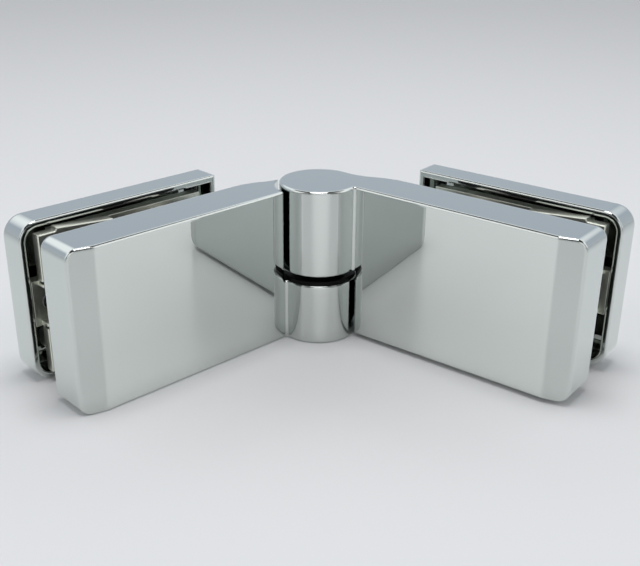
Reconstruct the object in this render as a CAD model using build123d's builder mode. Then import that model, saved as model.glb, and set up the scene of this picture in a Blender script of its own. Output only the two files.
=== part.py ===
"""Lifting hinge for a frameless glass door.

Two leaves clamp the glass panels and share a barrel. Helical cams in it raise the door leaf as it opens.
Origin on the hinge axis at the fixed leaf's underside, +Z up the axis, fixed leaf along -X, its front to -Y.
Each leaf has a frame of its own: x outwards from the hinge axis, y to the back, z towards its knuckle's end.
"""

import os
from math import asin, cos, degrees, radians, sin

from build123d import *

# Leaves
height = 55.0
leaf_length = 97.4  # from the hinge axis to the outer end
face_setback = 1.7  # front face behind the hinge axis
body_thickness = 16.6
body_corner = 3.8
bevel_length = 8.2
bevel_depth = 2.2
bevel_softening = 8.0  # radius where the bevel starts
edge_break = 0.4
fairing_start = 24.0  # where the back starts to curve in towards the barrel
fairing_radius = 27.0

# Barrel
barrel_radius = 13.9
neck_fillet = 1.0  # front face to knuckle
root_fillet = 20.0  # fairing to knuckle
relief_gap = 1.5  # round the other leaf's knuckle
knuckle_break = 0.3  # round its inner end
lower_knuckle = 22.0
knuckle_gap = 2.2  # between the knuckles with the door closed
lower_floor = 4.5
upper_bore_depth = 21.0

# Pose at rest and cam
opening = 82.4  # degrees from leaves in line
cam_lead = 5.8  # rise for a whole turn
cam_play = 0.2
cam_stop_play = 2.0  # degrees at each end of a ramp
ramp_inner = 6.6
ramp_outer = 9.0
ramp_root = 0.6  # how far a ramp's solid runs on past what it meets

# Cam bushes
bush_radius = 9.4
bush_play = 0.05
collar_setback = 0.6  # black collar inside the barrel's surface
collar_thickness = 1.5
lower_bush_end = 8.0  # underside of the lower bush
key_width = 3.0
key_depth = 1.2

# Spindle
spindle_radius = 5.0
spindle_play = 0.05
spindle_end = 5.2
flange_radius = 6.2
flange_thickness = 1.2
drive_width = 9.0  # across the flats of its six-sided upper part
drive_play = 0.1
drive_end_gap = 1.0  # below the end of the upper bush, door closed
washer_radius = 8.0
washer_thickness = 1.0
clip_radius = 7.0
clip_thickness = 0.9
clip_groove = 0.8
clip_mouth = 5.0
spindle_chamfer = 0.6
end_play = 0.1  # under the spindle's flange and over the washer

# Grub screws in the knuckles
grub_radius = 2.0
grub_point_radius = 1.25
grub_point = 0.5
grub_recess = 0.4
grub_socket = 2.0
grub_socket_depth = 1.6
lower_grub_height = 14.0
upper_grub_height = 36.0

# Glass clamp
glass = 8.0
gasket = 1.5
gasket_inset = 3.2
gasket_start = 29.0
gasket_corner = 2.0
back_gasket_gap = 1.0  # to the clamp plate's jaw
screw_place = 42.0
screw_pitch = 27.0
screw_radius = 3.0
screw_play = 0.05
screw_thread = 10.0  # depth of its hole in the front body
screw_end_gap = 1.0
screw_head_radius = 6.0
screw_socket = 4.0
screw_socket_depth = 2.6
sleeve_radius = 6.0
sleeve_play = 0.2

# Back cover
clamp_proud = 3.3  # clamp plate's jaw in front of the cover's rim
cover_depth = 11.4
cover_start = 20.2
cover_end = 96.8
cover_wall = 2.1
cover_floor = 3.2
cover_corner = 6.8
cover_edge = 1.8  # round its back
rim_break = 0.3

# Clamp plate
plate_thickness = 3.9  # behind the rim
plate_gap = 2.4  # to the cover's wall, along its sides
plate_start = 27.4
jaw_start = 65.0
jaw_step = 85.6
jaw_gap = 0.5  # to the cover's wall, at the jaw's highest place
jaw_break = 0.3
finger_end = 92.1
finger_gap = 1.6  # to the cover's wall
step_fillet = 0.7
rib_width = 1.1  # of a finger, beside the land
groove_width = 0.9
groove_depth = 2.4
land_length = 12.0
land_width = 12.5
land_lap = 1.5  # under each finger
land_gap = 0.3
boss_radius = 7.0
pin_radius = 1.5
pin_head_radius = 2.8
pin_end_gap = 0.5
pin_socket = 2.0
pin_socket_depth = 1.2
pin_post_radius = 3.0
pin_inner_place = 60.0

# Planes across the leaf, as distances behind the hinge axis
back_plane = face_setback + body_thickness
clamp_plane = back_plane + glass + 2 * gasket
rim_plane = clamp_plane + clamp_proud
cover_back = rim_plane + cover_depth
floor_plane = cover_back - cover_floor
plate_back = rim_plane + plate_thickness

# Heights and sizes that follow
lift = cam_lead * opening / 360
lower_bore_depth = lower_knuckle - lower_floor
upper_knuckle = height - lower_knuckle - knuckle_gap
cam_base = lower_knuckle + collar_thickness
cam_rise = cam_lead / 2
collar_radius = barrel_radius - collar_setback
bore_radius = bush_radius + bush_play
upper_bush_top = lower_knuckle + knuckle_gap + upper_bore_depth
screw_heights = (height / 2 - screw_pitch / 2, height / 2 + screw_pitch / 2)
screw_spots = [(screw_place, spot) for spot in screw_heights]
back_gasket_inset = screw_heights[0] - sleeve_radius  # level with the sleeves
land_place = cover_end - cover_wall - land_gap - land_length / 2
groove_place = land_width / 2 + rib_width + groove_width / 2
groove_spots = [(jaw_step, height / 2 - groove_place), (jaw_step, height / 2 + groove_place)]
pin_spots = [(land_place, height / 2), (pin_inner_place, height / 2)]
pin_length = floor_plane - rim_plane - pin_end_gap
jaw_low, jaw_high = cover_wall + jaw_gap, height - cover_wall - jaw_gap
plate_low, plate_high = cover_wall + plate_gap, height - cover_wall - plate_gap
finger_low, finger_high = cover_wall + finger_gap, height - cover_wall - finger_gap
washer_foot = lower_bush_end - end_play - washer_thickness
clip_foot = washer_foot - clip_thickness
left_edge = (Align.MIN, Align.CENTER)
hanging = (Align.CENTER, Align.CENTER, Align.MAX)

# Frames: the fixed leaf's runs down from its top, the door leaf's runs up from its underside
door_heading = (cos(radians(opening)), -sin(radians(opening)), 0)
fixed_frame = Plane((0, 0, height), x_dir=(-1, 0, 0), z_dir=(0, 0, -1))
door_frame = Plane((0, 0, lift), x_dir=door_heading, z_dir=(0, 0, 1))
lower_frame = Plane((0, 0, 0), x_dir=(-1, 0, 0), z_dir=(0, 0, 1))
spindle_frame = Plane((0, 0, 0), x_dir=door_heading, z_dir=(0, 0, 1))


def front_view(frame, behind):
    """Sketch plane seen from the leaf's front, at a distance behind the hinge axis."""
    return Plane(frame.from_local_coords((0, behind, 0)), x_dir=frame.x_dir, z_dir=-frame.y_dir)


def from_behind(frame, spots, behind):
    """Planes that face the leaf's back, one for each (place, height) spot."""
    return [
        Plane(frame.from_local_coords((place, behind, spot)), x_dir=frame.x_dir, z_dir=frame.y_dir)
        for place, spot in spots
    ]


def from_front(frame, place, behind, spot):
    """Plane that faces the leaf's front, at a place and height."""
    return Plane(frame.from_local_coords((place, behind, spot)), x_dir=frame.x_dir, z_dir=-frame.y_dir)


def draw_plate(outline, start, end, margin, corner):
    """Draw a plate of the leaf's height, less a margin, with its outer corners rounded."""
    with Locations((start, margin)):
        Rectangle(end - start, height - 2 * margin, align=(Align.MIN, Align.MIN))
    fillet(outline.vertices().group_by(Axis.X)[-1], radius=corner)


def draw_bush(radius, width):
    """Draw a bush's section, with its key on the side away from the leaf."""
    Circle(radius)
    Rectangle(radius + key_depth, width, align=(Align.MAX, Align.CENTER))


def outer_edges(body, frame):
    """Every edge of a leaf but those across its thickness and the upright ones short of its outer end."""
    across = body.edges().filter_by(Axis((0, 0, 0), frame.y_dir))
    uprights = body.edges().filter_by(Axis.Z).sort_by(Axis((0, 0, 0), frame.x_dir))
    return body.edges() - across - uprights[:-2]


def leaf_body(frame, knuckle, bore_depth, grub_spot):
    """Front body cast in one with its knuckle. Over the rest of its height it clears the other knuckle."""
    with BuildPart() as body:
        with BuildSketch(frame) as plan:
            with BuildLine():
                Polyline(
                    (0, face_setback),
                    (leaf_length - bevel_length, face_setback),
                    (leaf_length, face_setback + bevel_depth),
                    (leaf_length, back_plane),
                    (fairing_start, back_plane),
                )
                fairing = CenterArc(
                    (fairing_start, back_plane - fairing_radius),
                    fairing_radius,
                    90,
                    degrees(asin(fairing_start / fairing_radius)),
                )
                Line(fairing @ 1, (0, face_setback))
            make_face()
            Circle(barrel_radius)
            bevel = plan.vertices().sort_by_distance((leaf_length - bevel_length, face_setback))[0]
            fillet(bevel, radius=bevel_softening)
            neck = plan.vertices().sort_by_distance((barrel_radius, face_setback))[0]
            fillet(neck, radius=neck_fillet)
            root = plan.vertices().sort_by_distance((barrel_radius / 2, barrel_radius))[0]
            fillet(root, radius=root_fillet)
        extrude(amount=height)
        with BuildSketch(front_view(frame, back_plane)) as elevation:
            draw_plate(elevation, -barrel_radius, leaf_length, 0, body_corner)
        extrude(amount=back_plane + barrel_radius, mode=Mode.INTERSECT)
        chamfer(outer_edges(body, frame), length=edge_break)
        with BuildSketch(frame):
            Circle(barrel_radius + relief_gap)
        extrude(amount=height - knuckle, mode=Mode.SUBTRACT)
        inner_end = frame.offset(height - knuckle)
        end_face = body.faces().sort_by_distance(inner_end.origin)[0]
        chamfer(end_face.edges().sort_by_distance(inner_end.origin)[:-1], length=knuckle_break)
        with BuildSketch(inner_end):
            draw_bush(bore_radius, key_width + 2 * bush_play)
        extrude(amount=bore_depth, mode=Mode.SUBTRACT)
        with BuildSketch(front_view(frame, back_plane)):
            with Locations(*screw_spots):
                Circle(screw_radius + screw_play)
        extrude(amount=screw_thread, mode=Mode.SUBTRACT)
        with BuildSketch(front_view(frame, barrel_radius)):
            with Locations((0, grub_spot)):
                Circle(grub_radius + screw_play)
        extrude(amount=barrel_radius - bush_radius, mode=Mode.SUBTRACT)
    return body.part


def leaf_gasket(frame, behind, thickness, end, inset):
    """Soft pad in front of a plane, with holes for the sleeves round the clamp screws."""
    with BuildPart() as pad:
        with BuildSketch(front_view(frame, behind)) as outline:
            draw_plate(outline, gasket_start, end, inset, gasket_corner)
            with Locations(*screw_spots):
                Circle(sleeve_radius + sleeve_play, mode=Mode.SUBTRACT)
        extrude(amount=thickness)
    return pad.part


def glass_sleeves(frame):
    """Sleeves that keep the clamp screws off the glass."""
    with BuildPart() as sleeves:
        with BuildSketch(*from_behind(frame, screw_spots, rim_plane)):
            Circle(sleeve_radius)
            Circle(screw_radius + sleeve_play, mode=Mode.SUBTRACT)
        extrude(amount=back_plane - rim_plane)
    return sleeves.part


def draw_jaw(outline):
    """Draw the jaw: sides that spread towards its outer end, then a step down to the fingers."""
    with BuildLine() as sides:
        Polyline(
            (jaw_start, plate_low),
            (jaw_step, jaw_low),
            (jaw_step, finger_low),
            (finger_end, finger_low),
            (finger_end, finger_high),
            (jaw_step, finger_high),
            (jaw_step, jaw_high),
            (jaw_start, plate_high),
            close=True,
        )
    make_face(sides.edges())
    for side in (finger_low, finger_high):
        fillet(outline.vertices().sort_by_distance((jaw_step, side))[0], radius=step_fillet)


def clamp_plate(frame):
    """Die-cast plate level with the cover's rim, with a two-fingered jaw in front and a land between."""
    land_spot = pin_spots[0]
    with BuildPart(frame) as plate:
        with BuildSketch(front_view(frame, rim_plane)) as outline:
            draw_jaw(outline)
        extrude(amount=clamp_proud)
        jaw_face = plate.faces().sort_by(Axis((0, 0, 0), frame.y_dir))[0]
        chamfer(jaw_face.edges(), length=jaw_break)
        with BuildSketch(front_view(frame, plate_back)):
            with Locations((plate_start, height / 2)):
                Rectangle(jaw_step - plate_start, plate_high - plate_low, align=left_edge)
        extrude(amount=plate_thickness)
        with BuildSketch(front_view(frame, clamp_plane)):
            with Locations(land_spot):
                Rectangle(land_length, land_width)
        extrude(amount=-clamp_proud, mode=Mode.SUBTRACT)
        with BuildSketch(front_view(frame, clamp_plane)):
            with Locations(*groove_spots):
                Rectangle(finger_end - jaw_step, groove_width, align=left_edge)
        extrude(amount=-groove_depth, mode=Mode.SUBTRACT)
        with BuildSketch(front_view(frame, plate_back)):
            with Locations(land_spot):
                Rectangle(land_length, land_width + 2 * land_lap)
        extrude(amount=plate_thickness)
        with BuildSketch(front_view(frame, floor_plane)):
            with Locations(*screw_spots):
                Circle(boss_radius)
        extrude(amount=floor_plane - plate_back)
        with BuildSketch(front_view(frame, floor_plane)):
            with Locations(*screw_spots):
                Circle(screw_radius + sleeve_play)
        extrude(amount=floor_plane - rim_plane, mode=Mode.SUBTRACT)
        with Locations(*[Plane((place, rim_plane, spot), z_dir=(0, -1, 0)) for place, spot in pin_spots]):
            CounterSinkHole(pin_radius + screw_play, pin_head_radius + screw_play)
    return plate.part


def cover(frame):
    """Chrome tray behind the glass, open towards it, with posts for the clamp plate's screws."""
    with BuildPart(frame) as tray:
        with BuildSketch(front_view(frame, cover_back)) as outline:
            draw_plate(outline, cover_start, cover_end, 0, cover_corner)
        extrude(amount=cover_depth)
        rim, back = tray.faces().sort_by(Axis((0, 0, 0), frame.y_dir))[:: len(tray.faces()) - 1]
        chamfer(rim.edges(), length=rim_break)
        fillet(back.edges(), radius=cover_edge)
        with BuildSketch(front_view(frame, floor_plane)) as pocket:
            draw_plate(
                pocket,
                cover_start + cover_wall,
                cover_end - cover_wall,
                cover_wall,
                cover_corner - cover_wall,
            )
        extrude(amount=floor_plane - rim_plane, mode=Mode.SUBTRACT)
        with BuildSketch(front_view(frame, floor_plane)):
            with Locations(*pin_spots):
                Circle(pin_post_radius)
                Circle(pin_radius + screw_play, mode=Mode.SUBTRACT)
        extrude(amount=floor_plane - plate_back)
        with Locations(*[Plane((place, cover_back, spot), z_dir=(0, 1, 0)) for place, spot in screw_spots]):
            CounterSinkHole(screw_radius + sleeve_play, screw_head_radius + screw_play)
    return tray.part


def socket_screws(planes, radius, head_radius, length, socket, socket_depth):
    """Countersunk socket screws, with their heads level with the planes."""
    with BuildPart(*planes) as screws:
        Cone(radius, head_radius, head_radius - radius, align=hanging)
        Cylinder(radius, length, align=hanging)
        with BuildSketch(*planes):
            RegularPolygon(socket / 2, 6, major_radius=False)
        extrude(amount=-socket_depth, mode=Mode.SUBTRACT)
    return screws.part


def clamp_screws(frame):
    """The two screws from the cover's back through the glass into the front body."""
    planes = from_behind(frame, screw_spots, cover_back)
    length = cover_back - back_plane + screw_thread - screw_end_gap
    return socket_screws(planes, screw_radius, screw_head_radius, length, screw_socket, screw_socket_depth)


def plate_screws(frame):
    """The two small screws of the clamp plate, one on its land and one on its face."""
    planes = [from_front(frame, place, rim_plane, spot) for place, spot in pin_spots]
    return socket_screws(planes, pin_radius, pin_head_radius, pin_length, pin_socket, pin_socket_depth)


def grub_screw(frame, spot):
    """Grub screw through the back of a knuckle, its point in the bush."""
    shank = barrel_radius - grub_recess - bore_radius
    planes = from_behind(frame, [(0, spot)], barrel_radius - grub_recess)
    with BuildPart(*planes) as screw:
        Cylinder(grub_radius, shank, align=hanging)
        Cylinder(grub_point_radius, shank + grub_point, align=hanging)
        with BuildSketch(*planes):
            RegularPolygon(grub_socket / 2, 6, major_radius=False)
        extrude(amount=-grub_socket_depth, mode=Mode.SUBTRACT)
    return screw.part


def cut_point_seat(frame, spot):
    """Cut a bush for the point of its grub screw."""
    with BuildSketch(front_view(frame, bush_radius)) as seat:
        with Locations((0, spot)):
            Circle(grub_point_radius + screw_play)
    extrude(seat.sketch, amount=grub_point, mode=Mode.SUBTRACT)


def ramp(inner, outer, span):
    """Solid under a helical ramp that rises clockwise from +X, deep enough to reach below its foot."""
    with BuildPart() as wedge:
        with BuildLine() as rise:
            Helix(cam_lead, cam_lead * span / 360, (inner + outer) / 2, lefthand=True)
        with BuildSketch(Plane.XZ):
            with Locations((inner, 0)):
                Rectangle(outer - inner, cam_rise + ramp_root, align=(Align.MIN, Align.MAX))
        sweep(path=rise.wire(), is_frenet=True)
    return wedge.part


def lower_cam():
    """Bush keyed in the lower knuckle, with the collar between the knuckles and two helical ramps on it."""
    wedge = ramp(ramp_inner, ramp_outer, 180 - 2 * cam_stop_play)
    starts = (-cam_stop_play, 180 - cam_stop_play)
    foot = lower_frame.offset(lower_bush_end)
    with BuildPart() as bush:
        with BuildSketch(foot):
            draw_bush(bush_radius, key_width)
        extrude(amount=lower_knuckle - lower_bush_end)
        with BuildSketch(lower_frame.offset(lower_knuckle)):
            Circle(collar_radius)
        extrude(amount=collar_thickness)
        with Locations(*[lower_frame.offset(cam_base).rotated((0, 0, start)) for start in starts]):
            add(wedge)
        with BuildSketch(foot):
            Circle(spindle_radius + spindle_play)
        extrude(amount=cam_base + cam_rise - lower_bush_end, mode=Mode.SUBTRACT)
        cut_point_seat(fixed_frame, height - lower_grub_height)
    return bush.part


def upper_cam():
    """Bush keyed in the upper knuckle, with ramps that ride on the lower cam and the spindle's drive hole."""
    wedge = ramp(ramp_inner - ramp_root, bush_radius + ramp_root, 180)
    low = cam_base + cam_play
    hollow = cam_rise + ramp_root
    foot = door_frame.offset(low)
    length = upper_bush_top - low
    with BuildPart() as bush:
        with BuildSketch(foot):
            Circle(bush_radius)
        extrude(amount=length)
        with BuildSketch(foot.offset(hollow)):
            draw_bush(bush_radius, key_width)
        extrude(amount=length - hollow)
        with BuildSketch(foot):
            Circle(ramp_inner)
        extrude(amount=hollow, mode=Mode.SUBTRACT)
        with Locations(foot, foot.rotated((0, 0, 180))):
            add(wedge, mode=Mode.SUBTRACT)
        with BuildSketch(foot):
            RegularPolygon(drive_width / 2 + drive_play, 6, major_radius=False)
        extrude(amount=length, mode=Mode.SUBTRACT)
        cut_point_seat(door_frame, upper_grub_height)
    return bush.part


def spindle():
    """Pin that turns in the lower cam, with a flange on the collar, a clip groove and a six-sided drive."""
    flange_foot = cam_base + end_play
    groove_radius = spindle_radius - clip_groove
    with BuildPart() as pin:
        with BuildSketch(Plane.XZ):
            with BuildLine():
                Polyline(
                    (0, spindle_end),
                    (spindle_radius - spindle_chamfer, spindle_end),
                    (spindle_radius, spindle_end + spindle_chamfer),
                    (spindle_radius, clip_foot),
                    (groove_radius, clip_foot),
                    (groove_radius, washer_foot),
                    (spindle_radius, washer_foot),
                    (spindle_radius, flange_foot),
                    (flange_radius, flange_foot),
                    (flange_radius, flange_foot + flange_thickness),
                    (0, flange_foot + flange_thickness),
                    close=True,
                )
            make_face()
        revolve(axis=Axis.Z)
        with BuildSketch(spindle_frame.offset(flange_foot + flange_thickness)):
            RegularPolygon(drive_width / 2, 6, major_radius=False)
        extrude(amount=upper_bush_top - drive_end_gap - flange_foot - flange_thickness)
    return pin.part


def thrust_washer():
    """Washer between the lower cam and the clip."""
    with BuildPart() as washer:
        with BuildSketch(spindle_frame.offset(washer_foot)):
            Circle(washer_radius)
            Circle(spindle_radius + spindle_play, mode=Mode.SUBTRACT)
        extrude(amount=washer_thickness)
    return washer.part


def retaining_clip():
    """Open ring in the spindle's groove."""
    with BuildPart() as clip:
        with BuildSketch(spindle_frame.offset(clip_foot)):
            Circle(clip_radius)
            Circle(spindle_radius - clip_groove + spindle_play, mode=Mode.SUBTRACT)
            Rectangle(clip_radius, clip_mouth, align=left_edge, mode=Mode.SUBTRACT)
        extrude(amount=clip_thickness)
    return clip.part


def leaf_pieces(side, frame, knuckle, bore_depth, grub_spot):
    """Every piece of one leaf by name, with the side in front."""
    pieces = {
        "body": leaf_body(frame, knuckle, bore_depth, grub_spot),
        "front_gasket": leaf_gasket(
            frame, back_plane + gasket, gasket, leaf_length - gasket_inset, gasket_inset
        ),
        "back_gasket": leaf_gasket(
            frame, rim_plane, gasket + clamp_proud, jaw_start - back_gasket_gap, back_gasket_inset
        ),
        "glass_sleeves": glass_sleeves(frame),
        "clamp_plate": clamp_plate(frame),
        "cover": cover(frame),
        "clamp_screws": clamp_screws(frame),
        "plate_screws": plate_screws(frame),
        "grub_screw": grub_screw(frame, grub_spot),
    }
    return {f"{side}_{name}": piece for name, piece in pieces.items()}


hinge = {
    **leaf_pieces("fixed", fixed_frame, lower_knuckle, lower_bore_depth, height - lower_grub_height),
    **leaf_pieces("door", door_frame, upper_knuckle, upper_bore_depth, upper_grub_height),
    "lower_cam": lower_cam(),
    "upper_cam": upper_cam(),
    "spindle": spindle(),
    "thrust_washer": thrust_washer(),
    "retaining_clip": retaining_clip(),
}

os.makedirs("parts", exist_ok=True)
for name, piece in hinge.items():
    piece.label = name
    export_step(piece, f"parts/{name}.step")
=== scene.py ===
"""Finishes and a studio stage for the lifting hinge of a frameless glass door.

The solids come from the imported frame, in metres. This file gives each its finish and sets up the stage.
"""

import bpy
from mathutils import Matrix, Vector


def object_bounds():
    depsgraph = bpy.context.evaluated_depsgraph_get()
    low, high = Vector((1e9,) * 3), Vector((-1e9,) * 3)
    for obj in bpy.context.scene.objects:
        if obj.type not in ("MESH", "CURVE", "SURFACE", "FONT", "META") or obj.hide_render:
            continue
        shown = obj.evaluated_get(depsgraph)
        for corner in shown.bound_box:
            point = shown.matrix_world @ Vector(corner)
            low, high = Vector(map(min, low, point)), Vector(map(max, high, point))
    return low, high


bl_info = {
    "name": "Lifting Hinge",
    "version": (1, 0, 0),
    "blender": (4, 5, 0),
    "location": "View3D > Sidebar > Hinge",
    "description": "Finishes the pieces of a lifting glass-door hinge and sets up a studio stage",
    "category": "Object",
}

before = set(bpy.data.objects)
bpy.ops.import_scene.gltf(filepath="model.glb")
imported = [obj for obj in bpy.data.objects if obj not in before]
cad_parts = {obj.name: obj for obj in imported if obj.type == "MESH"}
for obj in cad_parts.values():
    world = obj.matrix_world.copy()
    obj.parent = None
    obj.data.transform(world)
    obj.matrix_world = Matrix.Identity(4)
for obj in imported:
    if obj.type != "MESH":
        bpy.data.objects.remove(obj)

from math import radians, sin

import bpy
import numpy as np
from bpy.props import FloatProperty, FloatVectorProperty, PointerProperty, StringProperty
from mathutils import Matrix

CAD_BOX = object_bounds()
LEAVES = ("fixed", "door")
MM = 0.001
BEVEL_SAMPLES = 16
NOISE_MIDDLE = {"From Min": 0.3, "From Max": 0.7}  # where most of a noise lies
NEAREST_SEEN = 0.01  # metres from the camera
FLOOR_ROUGHNESS = 0.25

# Tones of the room by elevation in degrees: the wall behind the hinge, the light boxes in front of it and
# the dark flags that cover part of the boxes
WALL_TONES = (
    (0, "#AEB3B9"), (23, "#A6AEB8"), (32, "#F4F6F8"), (50, "#F4F6F8"), (54, "#262626"), (90, "#262626")
)
BOX_TONES = (
    (0, "#C8CACB"), (8, "#D2D4D5"), (13, "#FFFFFF"), (50, "#FFFFFF"), (54, "#262626"), (90, "#262626")
)
FLAG_TONES = ((0, "#8A8B8C"), (10, "#4A4B4C"), (40, "#606162"), (50, "#282828"), (90, "#282828"))
# Way to the middle of the boxes, and the cosines from it between which the boxes start, the flags start and
# the flags end
BOX_WAY = (-0.62, -0.78, 0.0)
BOX_START = {"From Min": -0.1, "From Max": 0.15}
FLAG_START = {"From Min": 0.48, "From Max": 0.56}
FLAG_END = {"From Min": 0.83, "From Max": 0.91}


def linear(code):
    """Linear RGBA of an sRGB hex colour."""
    parts = np.array([int(code[i : i + 2], 16) for i in (1, 3, 5)]) / 255
    lit = np.where(parts <= 0.04045, parts / 12.92, ((parts + 0.055) / 1.055) ** 2.4)
    return (*lit, 1.0)


def add_node(tree, kind, inputs=(), **settings):
    """Add a node with its settings, and set or link its inputs by name or number."""
    made = tree.nodes.new(kind)
    for name, value in settings.items():
        setattr(made, name, value)
    for name, value in dict(inputs).items():
        if isinstance(value, bpy.types.NodeSocket):
            tree.links.new(value, made.inputs[name])
        else:
            made.inputs[name].default_value = value
    return made


def new_material(name):
    """An empty node material."""
    material = bpy.data.materials.new(name)
    material.use_nodes = True
    material.node_tree.nodes.clear()
    return material


def worked_surface(tree, grain, roughness, relief, edge):
    """Roughness and normal of a worked surface.

    Noise on Object coordinates, in blotches about grain millimetres wide, moves the roughness between
    its two values and raises the surface by relief millimetres. Sharp edges look rounded by edge
    millimetres.
    """
    place = add_node(tree, "ShaderNodeTexCoord").outputs["Object"]
    noise = add_node(tree, "ShaderNodeTexNoise", {"Vector": place, "Scale": 1 / (grain * MM), "Detail": 3.0})
    low, high = roughness
    limits = {**NOISE_MIDDLE, "To Min": low, "To Max": high}
    rough = add_node(tree, "ShaderNodeMapRange", {"Value": noise.outputs["Fac"], **limits})
    rounded = add_node(tree, "ShaderNodeBevel", {"Radius": edge * MM}, samples=BEVEL_SAMPLES)
    bumps = {"Height": noise.outputs["Fac"], "Distance": relief * MM, "Normal": rounded.outputs["Normal"]}
    raised = add_node(tree, "ShaderNodeBump", bumps)
    return {"Roughness": rough.outputs["Result"], "Normal": raised.outputs["Normal"]}


def two_tones(tree, clean, stained, patch):
    """Colour between two sRGB hex colours, in soft patches about patch millimetres wide."""
    place = add_node(tree, "ShaderNodeTexCoord").outputs["Object"]
    noise = add_node(tree, "ShaderNodeTexNoise", {"Vector": place, "Scale": 1 / (patch * MM), "Detail": 4.0})
    tones = {"Factor": noise.outputs["Fac"], "A": linear(clean), "B": linear(stained)}
    return add_node(tree, "ShaderNodeMix", tones, data_type="RGBA").outputs["Result"]


def finish_surface(material, inputs):
    """A principled surface with its inputs, as the material's output."""
    tree = material.node_tree
    surface = add_node(tree, "ShaderNodeBsdfPrincipled", inputs).outputs["BSDF"]
    add_node(tree, "ShaderNodeOutputMaterial", {"Surface": surface})
    return material


def polished_chrome(settings):
    """Chrome plated on polished brass: a cool mirror, with faint wiping marks that soften it in places."""
    material = new_material("polished_chrome")
    rough = settings.chrome_roughness
    grain, edge = settings.chrome_wiping, settings.chrome_edge
    return finish_surface(material, {
        "Base Color": linear(settings.chrome_colour),
        "Metallic": 1.0,
        **worked_surface(material.node_tree, grain, roughness=(rough, 3 * rough), relief=0, edge=edge),
    })


def nickel_zinc(settings):
    """Nickel on die-cast zinc: satin grey, with the casting's fine pebbled skin and duller patches."""
    material = new_material("nickel_plated_die_cast_zinc")
    tree = material.node_tree
    rough = settings.zinc_roughness
    return finish_surface(material, {
        "Base Color": two_tones(tree, settings.zinc_colour, settings.zinc_stain, patch=5.0),
        "Metallic": 1.0,
        **worked_surface(tree, settings.zinc_skin, roughness=(rough, 1.5 * rough), relief=0.012, edge=0.25),
    })


def bright_steel(settings):
    """Turned steel with a bright zinc coat: neutral, with a tool grain drawn coarse enough to show."""
    material = new_material("bright_zinc_coated_steel")
    tree = material.node_tree
    grain = settings.steel_grain
    rough = settings.steel_roughness
    return finish_surface(material, {
        "Base Color": linear(settings.steel_colour),
        "Metallic": 1.0,
        **worked_surface(tree, grain, roughness=(rough, 1.8 * rough), relief=0.006, edge=0.15),
    })


def moulded_plastic(name, colour, roughness, grain):
    """Moulded engineering plastic: an even colour with a low gloss.

    The mould's spark-eroded grain is drawn coarser than it is, so that it shows.
    """
    material = new_material(name)
    spread = (roughness, 1.3 * roughness)
    return finish_surface(material, {
        "Base Color": linear(colour),
        "IOR": 1.48,
        "Specular IOR Level": 0.1,
        **worked_surface(material.node_tree, grain, roughness=spread, relief=0.01, edge=0.2),
    })


def black_rubber(settings):
    """Die-cut rubber sheet: a dull black with a dusty grain."""
    material = new_material("black_rubber_sheet")
    tree = material.node_tree
    return finish_surface(material, {
        "Base Color": two_tones(tree, settings.rubber_colour, settings.rubber_dust, patch=4.0),
        "IOR": 1.52,
        **worked_surface(tree, settings.rubber_grain, roughness=(0.55, 0.8), relief=0.03, edge=0.2),
    })


def dress(names, material):
    """Give solids of the frame one material."""
    for name in names:
        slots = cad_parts[name].data.materials
        slots.clear()
        slots.append(material)


def on_both_leaves(*pieces):
    """Node names of pieces that each leaf has."""
    return [f"{leaf}_{piece}" for leaf in LEAVES for piece in pieces]


class HingeFinish(bpy.types.PropertyGroup):
    """Colours and surface grain of the hinge's materials."""

    chrome_colour: StringProperty(name="Chrome", description="sRGB colour of the plating", default="#C3C8C6")
    chrome_roughness: FloatProperty(
        name="Chrome roughness", description="Roughness where it is clean", default=0.004, min=0, max=1
    )
    chrome_edge: FloatProperty(
        name="Polished edges", description="Radius of the edges in millimetres", default=1.2, min=0
    )
    chrome_wiping: FloatProperty(
        name="Wiping marks", description="Width of the marks in millimetres", default=9.0, min=0.1
    )
    zinc_colour: StringProperty(
        name="Zinc", description="sRGB colour of the clamp plates", default="#DFE2D8"
    )
    zinc_stain: StringProperty(
        name="Dull zinc", description="sRGB colour of its duller patches", default="#C9CCC0"
    )
    zinc_roughness: FloatProperty(
        name="Zinc roughness", description="Roughness where it is brightest", default=0.34, min=0, max=1
    )
    zinc_skin: FloatProperty(
        name="Casting skin", description="Width of its pebbles in millimetres", default=0.6, min=0.05
    )
    steel_colour: StringProperty(
        name="Steel", description="sRGB colour of screws and spindle", default="#C8C9CA"
    )
    steel_roughness: FloatProperty(
        name="Steel roughness", description="Roughness where it is brightest", default=0.16, min=0, max=1
    )
    steel_grain: FloatProperty(
        name="Tool grain", description="Width of the grain in millimetres", default=0.35, min=0.05
    )
    acetal_colour: StringProperty(
        name="Cam plastic", description="sRGB colour of the cams", default="#070707"
    )
    nylon_colour: StringProperty(
        name="Sleeve plastic", description="sRGB colour of the sleeves", default="#DEDCD4"
    )
    rubber_colour: StringProperty(name="Rubber", description="sRGB colour of the pads", default="#141414")
    rubber_dust: StringProperty(
        name="Rubber dust", description="sRGB colour of its dusty patches", default="#232322"
    )
    rubber_grain: FloatProperty(
        name="Rubber grain", description="Width of the grain in millimetres", default=0.4, min=0.05
    )


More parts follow.
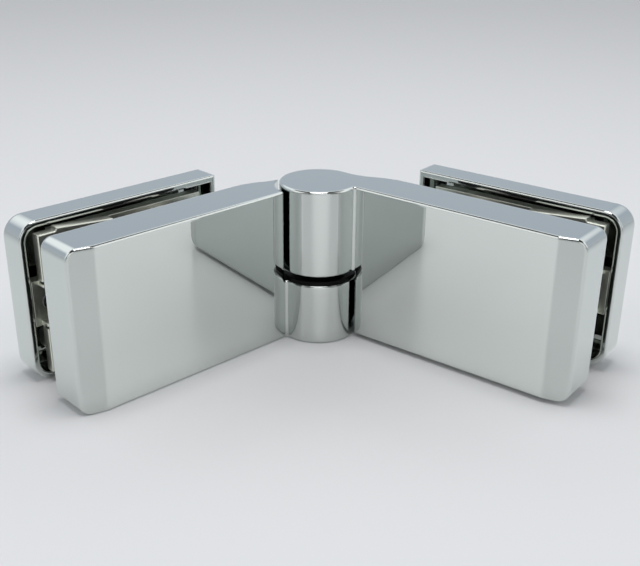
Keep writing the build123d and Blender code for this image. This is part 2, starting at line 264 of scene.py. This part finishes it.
class HingeStage(bpy.types.PropertyGroup):
    """Camera, floor and light."""

    eye: FloatVectorProperty(
        name="Camera place", description="Camera in the hinge's frame", subtype="TRANSLATION", unit="LENGTH",
        default=(-0.2213, -0.2272, 0.1559),
    )
    heading: FloatProperty(
        name="Heading", description="Camera's turn from the hinge's +Y", subtype="ANGLE",
        default=radians(-44.35),
    )
    tilt: FloatProperty(
        name="Tilt", description="Camera's angle below the horizon", subtype="ANGLE", default=radians(23.58)
    )
    roll: FloatProperty(name="Roll", description="Camera's lean", subtype="ANGLE", default=radians(0.52))
    lens: FloatProperty(name="Lens", description="Focal length in millimetres", default=53.6, min=1)
    # Painted light: every ray but the camera's meets the floor in this tone. It is painted lighter than the
    # floor the camera sees, so the chrome mirrors a brighter floor and the floor throws more light on the
    # hinge.
    floor_painted_lighter_tone: StringProperty(
        name="Floor", description="sRGB colour of the floor, as it lights and mirrors", default="#EFF0F0"
    )
    floor_seen: StringProperty(
        name="Floor as background", description="sRGB colour that the camera sees it in", default="#DBDCDE"
    )
    # Painted sheen: only the chrome's reflections see this gloss on the floor. The camera sees the floor
    # without it.
    floor_painted_sheen: FloatProperty(
        name="Floor sheen", description="Its gloss as the chrome mirrors it", default=0.9, min=0, max=1
    )
    floor_reach: FloatProperty(name="Floor reach", description="Half its width", default=12.0, unit="LENGTH")
    room_level: FloatProperty(
        name="Room light", description="Strength of the room's tones", default=1.5, min=0
    )
    lamp_place: FloatVectorProperty(
        name="Lamp place", description="Middle of the soft lamp", subtype="TRANSLATION", unit="LENGTH",
        default=(-0.03, -0.03, 0.9),
    )
    lamp_width: FloatProperty(
        name="Lamp width", description="Across the soft lamp", default=0.4, unit="LENGTH"
    )
    lamp_power: FloatProperty(
        name="Lamp power", description="Power of the soft lamp", default=4.0, unit="POWER"
    )


class HINGE_OT_chrome(bpy.types.Operator):
    """Plate the front bodies and back covers"""

    bl_idname = "hinge.chrome"
    bl_label = "Front bodies and covers"

    def execute(self, context):
        dress(on_both_leaves("body", "cover"), polished_chrome(context.scene.hinge_finish))
        return {"FINISHED"}


class HINGE_OT_clamp_plates(bpy.types.Operator):
    """Finish the clamp plates in the covers"""

    bl_idname = "hinge.clamp_plates"
    bl_label = "Clamp plates"

    def execute(self, context):
        dress(on_both_leaves("clamp_plate"), nickel_zinc(context.scene.hinge_finish))
        return {"FINISHED"}


class HINGE_OT_steel(bpy.types.Operator):
    """Finish the screws, the spindle and what holds it"""

    bl_idname = "hinge.steel"
    bl_label = "Screws and spindle"

    def execute(self, context):
        screws = on_both_leaves("clamp_screws", "plate_screws", "grub_screw")
        steel = bright_steel(context.scene.hinge_finish)
        dress([*screws, "spindle", "thrust_washer", "retaining_clip"], steel)
        return {"FINISHED"}


class HINGE_OT_cams(bpy.types.Operator):
    """Finish the lifting cams"""

    bl_idname = "hinge.cams"
    bl_label = "Cams"

    def execute(self, context):
        colour = context.scene.hinge_finish.acetal_colour
        dress(["lower_cam", "upper_cam"], moulded_plastic("black_acetal", colour, roughness=0.35, grain=0.3))
        return {"FINISHED"}


class HINGE_OT_glass_seats(bpy.types.Operator):
    """Finish the rubber pads and the sleeves round the clamp screws"""

    bl_idname = "hinge.glass_seats"
    bl_label = "Pads and sleeves"

    def execute(self, context):
        settings = context.scene.hinge_finish
        dress(on_both_leaves("front_gasket", "back_gasket"), black_rubber(settings))
        nylon = moulded_plastic("white_nylon", settings.nylon_colour, roughness=0.4, grain=0.5)
        dress(on_both_leaves("glass_sleeves"), nylon)
        return {"FINISHED"}


def add_camera(settings):
    """Camera at its place, turned by heading, tilt and roll."""
    lens = bpy.data.cameras.new("camera")
    lens.lens = settings.lens
    lens.clip_start = NEAREST_SEEN
    camera = bpy.data.objects.new("camera", lens)
    turn = (
        Matrix.Rotation(settings.heading, 4, "Z")
        @ Matrix.Rotation(radians(90) - settings.tilt, 4, "X")
        @ Matrix.Rotation(settings.roll, 4, "Z")
    )
    camera.matrix_world = Matrix.Translation(settings.eye) @ turn
    bpy.context.scene.collection.objects.link(camera)
    bpy.context.scene.camera = camera


def add_floor(settings):
    """Wide white board under the hinge.

    The camera sees it in one tone and without gloss. Every other ray meets a painted lighter tone with a
    painted sheen. So the chrome mirrors a brighter, glossier floor, and more light falls back on the hinge.
    """
    material = new_material("white_board_with_painted_sheen")
    tree = material.node_tree
    seen = add_node(tree, "ShaderNodeLightPath").outputs["Is Camera Ray"]
    # Painted light and painted sheen: the floor is lighter and glossier for every ray but the camera's, so
    # the chrome shows a painted reflection.
    tones = {"Factor": seen, "A": linear(settings.floor_painted_lighter_tone), "B": linear(settings.floor_seen)}
    colour = add_node(tree, "ShaderNodeMix", tones, data_type="RGBA").outputs["Result"]
    gloss = {"Value": seen, "To Min": settings.floor_painted_sheen, "To Max": 0.0}
    sheen = add_node(tree, "ShaderNodeMapRange", gloss).outputs["Result"]
    board = {"Base Color": colour, "Roughness": FLOOR_ROUGHNESS, "Specular IOR Level": sheen}
    finish_surface(material, board)
    corners = np.array([(-1, -1, 0), (1, -1, 0), (1, 1, 0), (-1, 1, 0)]) * settings.floor_reach
    mesh = bpy.data.meshes.new("floor")
    mesh.from_pydata(corners + (0, 0, CAD_BOX[0].z), [], [(0, 1, 2, 3)])
    mesh.materials.append(material)
    floor = bpy.data.objects.new("floor", mesh)
    bpy.context.scene.collection.objects.link(floor)


def room_side(tree, height, tones):
    """Colours of one side of the room, from tones given by elevation in degrees."""
    ramp = add_node(tree, "ShaderNodeValToRGB", {"Fac": height})
    stops = ramp.color_ramp.elements
    for _ in tones[2:]:
        stops.new(1.0)
    for stop, (elevation, colour) in zip(stops, tones):
        stop.position = sin(radians(elevation))
        stop.color = linear(colour)
    return ramp.outputs["Color"]


def light_room(settings):
    """Room with a pale wall, light boxes, dark flags and a dark ceiling, under one wide soft lamp."""
    world = bpy.data.worlds.new("studio")
    world.use_nodes = True
    tree = world.node_tree
    tree.nodes.clear()
    way = add_node(tree, "ShaderNodeTexCoord").outputs["Generated"]
    height = add_node(tree, "ShaderNodeSeparateXYZ", {"Vector": way}).outputs["Z"]
    wall = room_side(tree, height, WALL_TONES)
    boxes = room_side(tree, height, BOX_TONES)
    flags = room_side(tree, height, FLAG_TONES)
    along = {0: way, 1: BOX_WAY}
    front = add_node(tree, "ShaderNodeVectorMath", along, operation="DOT_PRODUCT").outputs["Value"]
    share = add_node(tree, "ShaderNodeMapRange", {"Value": front, **BOX_START}).outputs["Result"]
    sides = {"Factor": share, "A": wall, "B": boxes}
    lit = add_node(tree, "ShaderNodeMix", sides, data_type="RGBA").outputs["Result"]
    started = add_node(tree, "ShaderNodeMapRange", {"Value": front, **FLAG_START}).outputs["Result"]
    ending = {"Value": front, **FLAG_END, "To Min": started, "To Max": 0.0}
    covered = add_node(tree, "ShaderNodeMapRange", ending).outputs["Result"]
    sides = {"Factor": covered, "A": lit, "B": flags}
    room = add_node(tree, "ShaderNodeMix", sides, data_type="RGBA").outputs["Result"]
    glow = add_node(tree, "ShaderNodeBackground", {"Color": room, "Strength": settings.room_level})
    add_node(tree, "ShaderNodeOutputWorld", {"Surface": glow.outputs["Background"]})
    bpy.context.scene.world = world
    lamp = bpy.data.lights.new("soft_lamp", "AREA")
    lamp.shape = "DISK"
    lamp.size = settings.lamp_width
    lamp.energy = settings.lamp_power
    lamp_object = bpy.data.objects.new("soft_lamp", lamp)
    lamp_object.location = settings.lamp_place
    bpy.context.scene.collection.objects.link(lamp_object)


class HINGE_OT_stage(bpy.types.Operator):
    """Set up the camera, the floor and the light"""

    bl_idname = "hinge.stage"
    bl_label = "Stage"

    def execute(self, context):
        settings = context.scene.hinge_stage
        add_camera(settings)
        add_floor(settings)
        light_room(settings)
        context.scene.view_settings.view_transform = "Standard"
        return {"FINISHED"}


class HINGE_PT_panel(bpy.types.Panel):
    """Sidebar panel with every step of the hinge"""

    bl_idname = "HINGE_PT_panel"
    bl_label = "Lifting Hinge"
    bl_space_type = "VIEW_3D"
    bl_region_type = "UI"
    bl_category = "Hinge"

    def draw(self, context):
        for group in (context.scene.hinge_finish, context.scene.hinge_stage):
            box = self.layout.box()
            for name in group.__annotations__:
                box.prop(group, name)
        for step in STEPS:
            self.layout.operator(step.bl_idname)


STEPS = (
    HINGE_OT_chrome,
    HINGE_OT_clamp_plates,
    HINGE_OT_steel,
    HINGE_OT_cams,
    HINGE_OT_glass_seats,
    HINGE_OT_stage,
)
CLASSES = (HingeFinish, HingeStage, *STEPS, HINGE_PT_panel)


def register():
    for cls in CLASSES:
        bpy.utils.register_class(cls)
    bpy.types.Scene.hinge_finish = PointerProperty(type=HingeFinish)
    bpy.types.Scene.hinge_stage = PointerProperty(type=HingeStage)


def unregister():
    del bpy.types.Scene.hinge_stage
    del bpy.types.Scene.hinge_finish
    for cls in reversed(CLASSES):
        bpy.utils.unregister_class(cls)


def main():
    """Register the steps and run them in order."""
    register()
    bpy.ops.hinge.chrome()
    bpy.ops.hinge.clamp_plates()
    bpy.ops.hinge.steel()
    bpy.ops.hinge.cams()
    bpy.ops.hinge.glass_seats()
    bpy.ops.hinge.stage()


if __name__ == "__main__":
    main()
